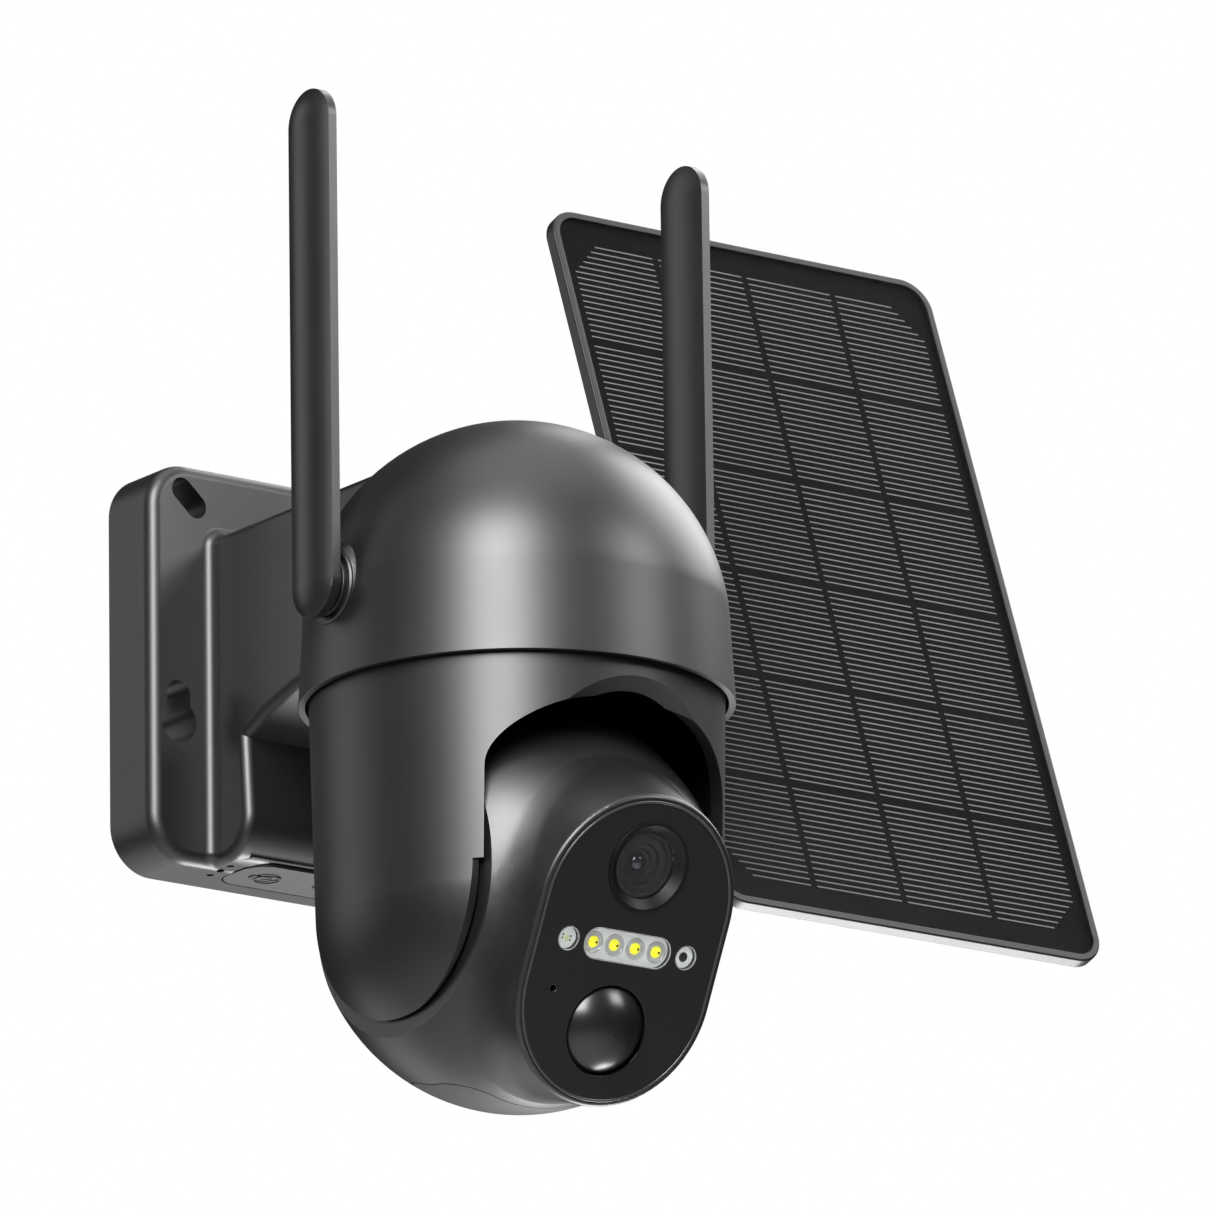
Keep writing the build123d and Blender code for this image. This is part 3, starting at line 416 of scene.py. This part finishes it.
# Light tray: a white plate with four shallow cups behind the clear window; its white finish carries a painted glow
bm = bmesh.new()
outline = racetrack(face["trayWidth"], face["trayHeight"])
front = [bm.verts.new((x * mm, face["trayFront"] * mm, (face["ledHeight"] + z) * mm)) for x, z in outline]
rear = [bm.verts.new((x * mm, -40.3 * mm, (face["ledHeight"] + z) * mm)) for x, z in outline]
for k in range(len(outline)):
    n = (k + 1) % len(outline)
    bm.faces.new((front[k], front[n], rear[n], rear[k]))
bm.faces.new(front)
bm.faces.new(list(reversed(rear)))
pieceFrom(bm, "led_tray", "head", "white", matrix=headFrame)
bm = bmesh.new()
for index in range(4):
    at = (index - 1.5) * face["ledPitch"]
    turned(bm, [(0, -43.05), (face["cupRadius"] - 0.5, -43.05), (face["cupRadius"] - 0.2, -43.35),
                (face["cupRadius"], -43.3), (face["cupRadius"], -42.8), (0, -42.8)], (at, face["ledHeight"]))
# Painted glow: the cups get a faint emission to brighten them behind the window
cupPaintedGlow = surface("led_cups_painted_glow", (0.66, 0.66, 0.64), 0.25, bump=0.0, painted_glow_colour=(0.6, 0.6, 0.58), painted_glow=0.12)
pieceFrom(bm, "led_cups_painted_glow", "head", "white", finish=cupPaintedGlow, matrix=headFrame)
bm = bmesh.new()
for index in range(4):
    at = (index - 1.5) * face["ledPitch"]
    turned(bm, [(0, -43.22), (face["phosphorRadius"] * 0.8, -43.2), (face["phosphorRadius"], -43.1),
                (face["phosphorRadius"], -42.9), (0, -42.9)], (at, face["ledHeight"]), steps=32)
# The phosphor's led finish carries a painted glow
phosphor = pieceFrom(bm, "led_phosphor", "head", "led", matrix=headFrame)
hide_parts("led_chips")

bm = bmesh.new()
for index in range(4):
    at = (index - 1.5) * face["ledPitch"]
    turned(bm, [(0, -43.32), (0.3, -43.32), (0.3, -43.1), (0, -43.1)],
           (at + 0.75, face["ledHeight"]), steps=16)
pieceFrom(bm, "led_dots", "head", "knuckle", matrix=headFrame)

# Behind the small round windows: a light chip on the left, a sensor on the right; the white seats and the chip
# carry a painted glow
bm = bmesh.new()
for side in (-1, 1):
    turned(bm, [(0, -43.2), (2.5, -43.2), (2.5, -40.4), (0, -40.4)],
           (side * face["sideX"], face["ledHeight"]))
pieceFrom(bm, "side_seats", "head", "white", matrix=headFrame)
bm = bmesh.new()
turned(bm, [(0, -43.32), (1.05, -43.3), (1.15, -43.2), (1.15, -43.0), (0, -43.0)],
       (face["sideX"], face["ledHeight"]))
block(bm, -17.5, -17.2, -43.35, -43.1, 2.1, 2.5)
block(bm, -17.5, -17.2, -43.35, -43.1, 1.3, 1.7)
block(bm, -15.4, -15.1, -43.35, -43.1, 1.0, 1.4)
block(bm, -15.4, -15.1, -43.35, -43.1, 1.9, 2.3)
pieceFrom(bm, "side_sensor", "head", "knuckle", matrix=headFrame)
bm = bmesh.new()
block(bm, -16.9, -15.7, -43.4, -43.1, 0.9, 2.3)
# Painted glow: the pale chip gets an emission though it is not lit
chipPaintedGlow = surface("side_chip_painted_glow", (0.75, 0.80, 0.50), 0.3, bump=0.0, painted_glow_colour=(0.7, 0.8, 0.4), painted_glow=0.3)
pieceFrom(bm, "side_chip_painted_glow", "head", "led", finish=chipPaintedGlow, matrix=headFrame)
# Painted highlight: thin light-grey metallic rings round the clear windows stand in for their bright edges
bm = bmesh.new()
outer = racetrack(face["windowWidth"], face["windowHeight"], 0.15)
inner = racetrack(face["windowWidth"], face["windowHeight"], -0.22)
rings = []
for outline, depth in ((outer, -44.6), (outer, -44.78), (inner, -44.78), (inner, -44.6)):
    rings.append([bm.verts.new((x * mm, depth * mm, (face["ledHeight"] + z) * mm)) for x, z in outline])
for a, b in zip(rings, rings[1:] + rings[:1]):
    for k in range(len(a)):
        n = (k + 1) % len(a)
        bm.faces.new((a[k], a[n], b[n], b[k]))
for side in (-1, 1):
    turned(bm, [(2.95, -44.6), (2.95, -44.78), (2.6, -44.78), (2.6, -44.6), (2.95, -44.6)],
           (side * face["sideX"], face["ledHeight"]))
rimHighlightFinish = surface("window_rims_painted_highlight", (0.75, 0.75, 0.76), 0.25, bump=0.0, metallic=0.6)
pieceFrom(bm, "window_rims_painted_highlight", "head", "window", finish=rimHighlightFinish, matrix=headFrame)

print("stage: face details")


panelPlace = {"lean": 19.2, "hingeBack": 22.0}
hinge = Vector(jointAt["panel_tilt"]["pos_m"])
leanBack = math.radians(panelPlace["lean"])
panelCentre = hinge + Vector((0, -math.cos(leanBack), math.sin(leanBack))) * panelPlace["hingeBack"] * mm
panelFrame = Matrix.Translation(panelCentre) @ Matrix.Rotation(-leanBack, 4, "X")

lines = {"Columns": 4, "Blocks": 6, "Lines Per Block": 17, "Line Pitch": 1.69, "Block Gap": 1.15,
         "Column Pitch": 26.4, "Line Length": 24.6, "Line Width": 0.32, "Corner Lines": 5,
         "Corner Step": 1.55}


def linesGroup(material):
    group = bpy.data.node_groups.new("cell_lines", "GeometryNodeTree")
    group.interface.new_socket(name="Geometry", in_out="OUTPUT", socket_type="NodeSocketGeometry")
    for label, value in lines.items():
        kind = "NodeSocketInt" if isinstance(value, int) else "NodeSocketFloat"
        group.interface.new_socket(name=label, in_out="INPUT", socket_type=kind).default_value = value
    start = group.nodes.new("NodeGroupInput")
    end = group.nodes.new("NodeGroupOutput")

    def calc(operation, a, b=None):
        values = {0: a} if b is None else {0: a, 1: b}
        return add(group, "ShaderNodeMath", values, operation=operation).outputs[0]

    of = start.outputs
    rows = calc("MULTIPLY", of["Blocks"], of["Lines Per Block"])
    count = calc("MULTIPLY", rows, of["Columns"])
    points = add(group, "GeometryNodeMeshLine", {"Count": count, "Offset": (0.001, 0, 0)}, mode="OFFSET")
    index = group.nodes.new("GeometryNodeInputIndex").outputs[0]
    column = calc("MODULO", index, of["Columns"])
    row = calc("FLOOR", calc("DIVIDE", calc("ADD", index, 0.01), of["Columns"]))
    band = calc("FLOOR", calc("DIVIDE", calc("ADD", row, 0.01), of["Lines Per Block"]))
    middleColumn = calc("DIVIDE", calc("SUBTRACT", of["Columns"], 1.0), 2.0)
    middleRow = calc("DIVIDE", calc("SUBTRACT", rows, 1.0), 2.0)
    middleBand = calc("DIVIDE", calc("SUBTRACT", of["Blocks"], 1.0), 2.0)
    across = calc("SUBTRACT", column, middleColumn)
    x = calc("MULTIPLY", across, of["Column Pitch"])
    z = calc("ADD", calc("MULTIPLY", calc("SUBTRACT", row, middleRow), of["Line Pitch"]),
             calc("MULTIPLY", calc("SUBTRACT", band, middleBand), of["Block Gap"]))
    fromEnd = calc("SUBTRACT", middleRow, calc("ABSOLUTE", calc("SUBTRACT", row, middleRow)))
    short = calc("MAXIMUM", calc("SUBTRACT", of["Corner Lines"], fromEnd), 0.0)
    outer = calc("GREATER_THAN", calc("ABSOLUTE", across), calc("SUBTRACT", middleColumn, 0.5))
    cut = calc("MULTIPLY", calc("MULTIPLY", short, of["Corner Step"]), outer)
    side = calc("SIGN", across)
    place = calc("SUBTRACT", x, calc("MULTIPLY", side, calc("MULTIPLY", cut, 0.5)))
    length = calc("SUBTRACT", of["Line Length"], cut)
    position = add(group, "ShaderNodeCombineXYZ", {"X": calc("MULTIPLY", place, mm),
                                                   "Z": calc("MULTIPLY", z, mm)})
    scale = add(group, "ShaderNodeCombineXYZ", {"X": calc("MULTIPLY", length, mm), "Y": 0.03 * mm,
                                                 "Z": calc("MULTIPLY", of["Line Width"], mm)})
    moved = add(group, "GeometryNodeSetPosition", {"Geometry": points.outputs[0],
                                                   "Position": position.outputs[0]})
    bar = add(group, "GeometryNodeMeshCube", {"Size": (1, 1, 1)})
    placed = add(group, "GeometryNodeInstanceOnPoints", {"Points": moved.outputs[0],
                                                         "Instance": bar.outputs[0],
                                                         "Scale": scale.outputs[0]})
    real = add(group, "GeometryNodeRealizeInstances", {"Geometry": placed.outputs[0]})
    painted = add(group, "GeometryNodeSetMaterial", {"Geometry": real.outputs[0], "Material": material})
    group.links.new(painted.outputs[0], end.inputs[0])
    return group


# A geometry group as a plain mesh, placed by matrix and riding a body.
def bakeNodes(group, values, name, body, matrix):
    holder = bpy.data.objects.new(name, bpy.data.meshes.new(name + "_seed"))
    bpy.context.scene.collection.objects.link(holder)
    modifier = holder.modifiers.new("nodes", "NODES")
    modifier.node_group = group
    for item in group.interface.items_tree:
        if item.item_type == "SOCKET" and item.in_out == "INPUT" and item.name in values:
            modifier[item.identifier] = values[item.name]
    graph = bpy.context.evaluated_depsgraph_get()
    mesh = bpy.data.meshes.new_from_object(holder.evaluated_get(graph))
    holder.modifiers.clear()
    mesh.transform(matrix)
    holder.data = mesh
    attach(holder, body)
    return holder


silver = surface("cell_silver", (0.26, 0.26, 0.265), 0.45, bump=0.0, smear=0.02, dust=0.0)
cellLines = bakeNodes(linesGroup(silver), lines, "cell_lines", "panel",
                      panelFrame @ Matrix.Translation((0, 0.93 * mm, 0)))
cellLines.data.materials.clear()
cellLines.data.materials.append(silver)
print("stage: solar lines")

# A node's low and high corners in a local frame.
def localBox(node, matrix):
    back = matrix.inverted()
    held = nodes[node]
    points = np.array([back @ (held.matrix_world @ v.co) for v in held.data.vertices])
    return points.min(axis=0), points.max(axis=0)


screws = {"Across": 50.0, "Along": 84.0, "Head Radius": 2.0, "Head Height": 0.55, "Slot Width": 0.55,
          "Slot Length": 2.4}


def screwsGroup(material):
    group = bpy.data.node_groups.new("corner_screws", "GeometryNodeTree")
    group.interface.new_socket(name="Geometry", in_out="OUTPUT", socket_type="NodeSocketGeometry")
    for label, value in screws.items():
        made = group.interface.new_socket(name=label, in_out="INPUT", socket_type="NodeSocketFloat")
        made.default_value = value
    start = group.nodes.new("NodeGroupInput")
    end = group.nodes.new("NodeGroupOutput")
    of = start.outputs

    def toMetres(socket):
        return add(group, "ShaderNodeMath", {0: socket, 1: mm}, operation="MULTIPLY").outputs[0]

    grid = add(group, "GeometryNodeMeshGrid", {"Size X": toMetres(of["Across"]),
                                               "Size Y": toMetres(of["Along"]),
                                               "Vertices X": 2, "Vertices Y": 2})
    head = add(group, "GeometryNodeMeshCylinder", {"Vertices": 32, "Radius": toMetres(of["Head Radius"]),
                                                   "Depth": toMetres(of["Head Height"])})
    size = add(group, "ShaderNodeCombineXYZ", {"X": toMetres(of["Slot Length"]),
                                               "Y": toMetres(of["Slot Width"]),
                                               "Z": toMetres(of["Head Height"])})
    slotBar = add(group, "GeometryNodeMeshCube", {"Size": size.outputs[0]})
    lift = add(group, "ShaderNodeCombineXYZ", {"Z": toMetres(of["Head Height"])})
    bar = add(group, "GeometryNodeTransform", {"Geometry": slotBar.outputs[0]})
    half = add(group, "ShaderNodeVectorMath", {0: lift.outputs[0], "Scale": 0.55}, operation="SCALE")
    group.links.new(half.outputs[0], bar.inputs["Translation"])
    cross = add(group, "GeometryNodeTransform", {"Geometry": bar.outputs[0], "Rotation": (0, 0, math.pi / 2)})
    cut = add(group, "GeometryNodeMeshBoolean", {"Mesh 1": head.outputs[0]}, operation="DIFFERENCE")
    group.links.new(bar.outputs[0], cut.inputs["Mesh 2"])
    group.links.new(cross.outputs[0], cut.inputs["Mesh 2"])
    placed = add(group, "GeometryNodeInstanceOnPoints", {"Points": grid.outputs[0],
                                                         "Instance": cut.outputs[0]})
    real = add(group, "GeometryNodeRealizeInstances", {"Geometry": placed.outputs[0]})
    painted = add(group, "GeometryNodeSetMaterial", {"Geometry": real.outputs[0], "Material": material})
    group.links.new(painted.outputs[0], end.inputs[0])
    return group


low, high = localBox("panel_back_box", panelFrame)
atBack = Matrix.Translation(((low[0] + high[0]) / 2, high[1] + 0.2 * mm, (low[2] + high[2]) / 2))
boxScrews = bakeNodes(screwsGroup(finishes["steel"]), screws, "back_box_screws", "panel",
                       panelFrame @ atBack @ Matrix.Rotation(-math.pi / 2, 4, "X"))
boxScrews.data.materials.clear()
boxScrews.data.materials.append(finishes["steel"])
print("stage: screws")

# Plain raised marks on the port cover: a ring round a short bar, and a small bar beside it
marks = {"ringRadius": 3.4, "ringWidth": 0.45, "barLength": 3.0, "barWidth": 0.6, "height": 0.18,
         "apart": 8.0}
bm = bmesh.new()
ringInner = marks["ringRadius"] - marks["ringWidth"]
turned(bm, [(ringInner, -marks["height"]), (marks["ringRadius"], -marks["height"]),
            (marks["ringRadius"], 0.1), (ringInner, 0.1), (ringInner, -marks["height"])],
       (-marks["apart"], 0))
block(bm, -marks["apart"] - marks["barLength"] / 2, -marks["apart"] + marks["barLength"] / 2,
      -marks["height"], 0.1, -marks["barWidth"] / 2, marks["barWidth"] / 2)
block(bm, marks["apart"] - marks["barLength"], marks["apart"] + marks["barLength"],
      -marks["height"], 0.1, -marks["barWidth"] / 2, marks["barWidth"] / 2)
coverLow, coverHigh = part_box("port_cover")
coverPlace = Matrix.Translation(((coverLow.x + coverHigh.x) / 2, (coverLow.y + coverHigh.y) / 2, coverLow.z))
pieceFrom(bm, "cover_marks", "port_cover", "rubber", matrix=coverPlace @ Matrix.Rotation(math.pi / 2, 4, "X"))
print("stage: marks")


# Stage, light and camera
scene = bpy.context.scene
scene.view_settings.view_transform = "Standard"

view = {"azimuth": -36.506, "elevation": -15.805, "roll": -0.806, "distance": 3.50519,
        "aside": 0.020507, "above": 0.022886, "lens": 455.7}
turn = math.radians(view["azimuth"])
rise = math.radians(view["elevation"])
lean = math.radians(view["roll"])
back = Vector((math.sin(turn) * math.cos(rise), -math.cos(turn) * math.cos(rise), math.sin(rise)))
right = Vector((math.cos(turn), math.sin(turn), 0))
over = back.cross(right)
rightRolled = right * math.cos(lean) + over * math.sin(lean)
upRolled = -right * math.sin(lean) + over * math.cos(lean)
cameraData = bpy.data.cameras.new("camera")
camera = bpy.data.objects.new("camera", cameraData)
scene.collection.objects.link(camera)
cameraData.lens = view["lens"]
cameraData.sensor_width = 36.0
cameraData.clip_start = 0.05
cameraData.clip_end = 200
place = rimCentre + back * view["distance"] + rightRolled * view["aside"] + upRolled * view["above"]
camera.matrix_world = Matrix.Translation(place) @ Matrix((rightRolled, upRolled, back)).transposed().to_4x4()
scene.camera = camera


# Unit vector out from the object: 0 is straight ahead, positive turns to +X.
def bearing(azimuth, elevation):
    a, e = math.radians(azimuth), math.radians(elevation)
    return Vector((math.sin(a) * math.cos(e), -math.cos(a) * math.cos(e), math.sin(e)))


# A rectangular light aimed back at the object; radiance is its surface brightness.
def softBox(name, size, azimuth, elevation, distance, radiance, target=None):
    data = bpy.data.lights.new(name, "AREA")
    data.shape = "RECTANGLE"
    data.size, data.size_y = size
    data.energy = radiance * math.pi * size[0] * size[1]
    lamp = bpy.data.objects.new(name, data)
    scene.collection.objects.link(lamp)
    away = bearing(azimuth, elevation)
    lamp.location = (target or rimCentre) + away * distance
    lamp.rotation_mode = "QUATERNION"
    lamp.rotation_quaternion = away.to_track_quat("Z", "Y")
    lamp.visible_camera = False
    return lamp


softBox("key", (0.70, 1.25), -46, 27, 1.5, 23.0)
softBox("left_rear", (0.9, 1.3), -142, 16, 1.5, 1.05)
softBox("front_right", (0.6, 0.5), 36, 30, 1.5, 12.0)
softBox("right_rear", (1.25, 0.9), 103, 40, 1.45, 5.6)
softBox("top", (1.2, 1.2), 0, 86, 1.5, 1.8)
softBox("under_rear", (1.2, 0.6), 175, -30, 1.4, 1.0)
softBox("under_panel", (0.5, 0.5), 127, -44, 1.2, 16.5)

world = bpy.data.worlds.new("studio")
scene.world = world
world.use_nodes = True
tree = world.node_tree
tree.nodes.clear()
seen = add(tree, "ShaderNodeLightPath")
white = add(tree, "ShaderNodeBackground", {"Color": (1, 1, 1, 1), "Strength": 1.0})
dim = add(tree, "ShaderNodeBackground", {"Color": (0.95, 0.97, 1, 1), "Strength": 0.01})
mix = add(tree, "ShaderNodeMixShader", {0: seen.outputs["Is Camera Ray"], 1: dim.outputs[0],
                                        2: white.outputs[0]})
add(tree, "ShaderNodeOutputWorld", {"Surface": mix.outputs[0]})

floorMesh = bpy.data.meshes.new("floor")
reach = 30.0
floorZ = -1.45
corners = [(-reach, -reach, floorZ), (reach, -reach, floorZ), (reach, reach, floorZ), (-reach, reach, floorZ)]
floorMesh.from_pydata(corners, [], [(0, 1, 2, 3)])
floor = bpy.data.objects.new("floor", floorMesh)
scene.collection.objects.link(floor)
floorMaterial = bpy.data.materials.new("floor")
floorMaterial.use_nodes = True
tree = floorMaterial.node_tree
shader = tree.nodes["Principled BSDF"]
place = add(tree, "ShaderNodeTexCoord")
mottle = add(tree, "ShaderNodeTexNoise", {"Vector": place.outputs["Object"], "Scale": 3.0, "Detail": 4.0})
pale = add(tree, "ShaderNodeMapRange", {"Value": mottle.outputs["Fac"], "To Min": 0.86, "To Max": 0.9})
shade = add(tree, "ShaderNodeCombineColor", {0: pale.outputs[0], 1: pale.outputs[0], 2: pale.outputs[0]})
tree.links.new(shade.outputs[0], shader.inputs["Base Color"])
shader.inputs["Roughness"].default_value = 0.8
clear = add(tree, "ShaderNodeBsdfTransparent")
facing = add(tree, "ShaderNodeNewGeometry")
pick = add(tree, "ShaderNodeMixShader", {0: facing.outputs["Backfacing"], 1: shader.outputs[0],
                                         2: clear.outputs[0]})
tree.links.new(pick.outputs[0], tree.nodes["Material Output"].inputs["Surface"])
floorMesh.materials.append(floorMaterial)
print("stage: light and camera")
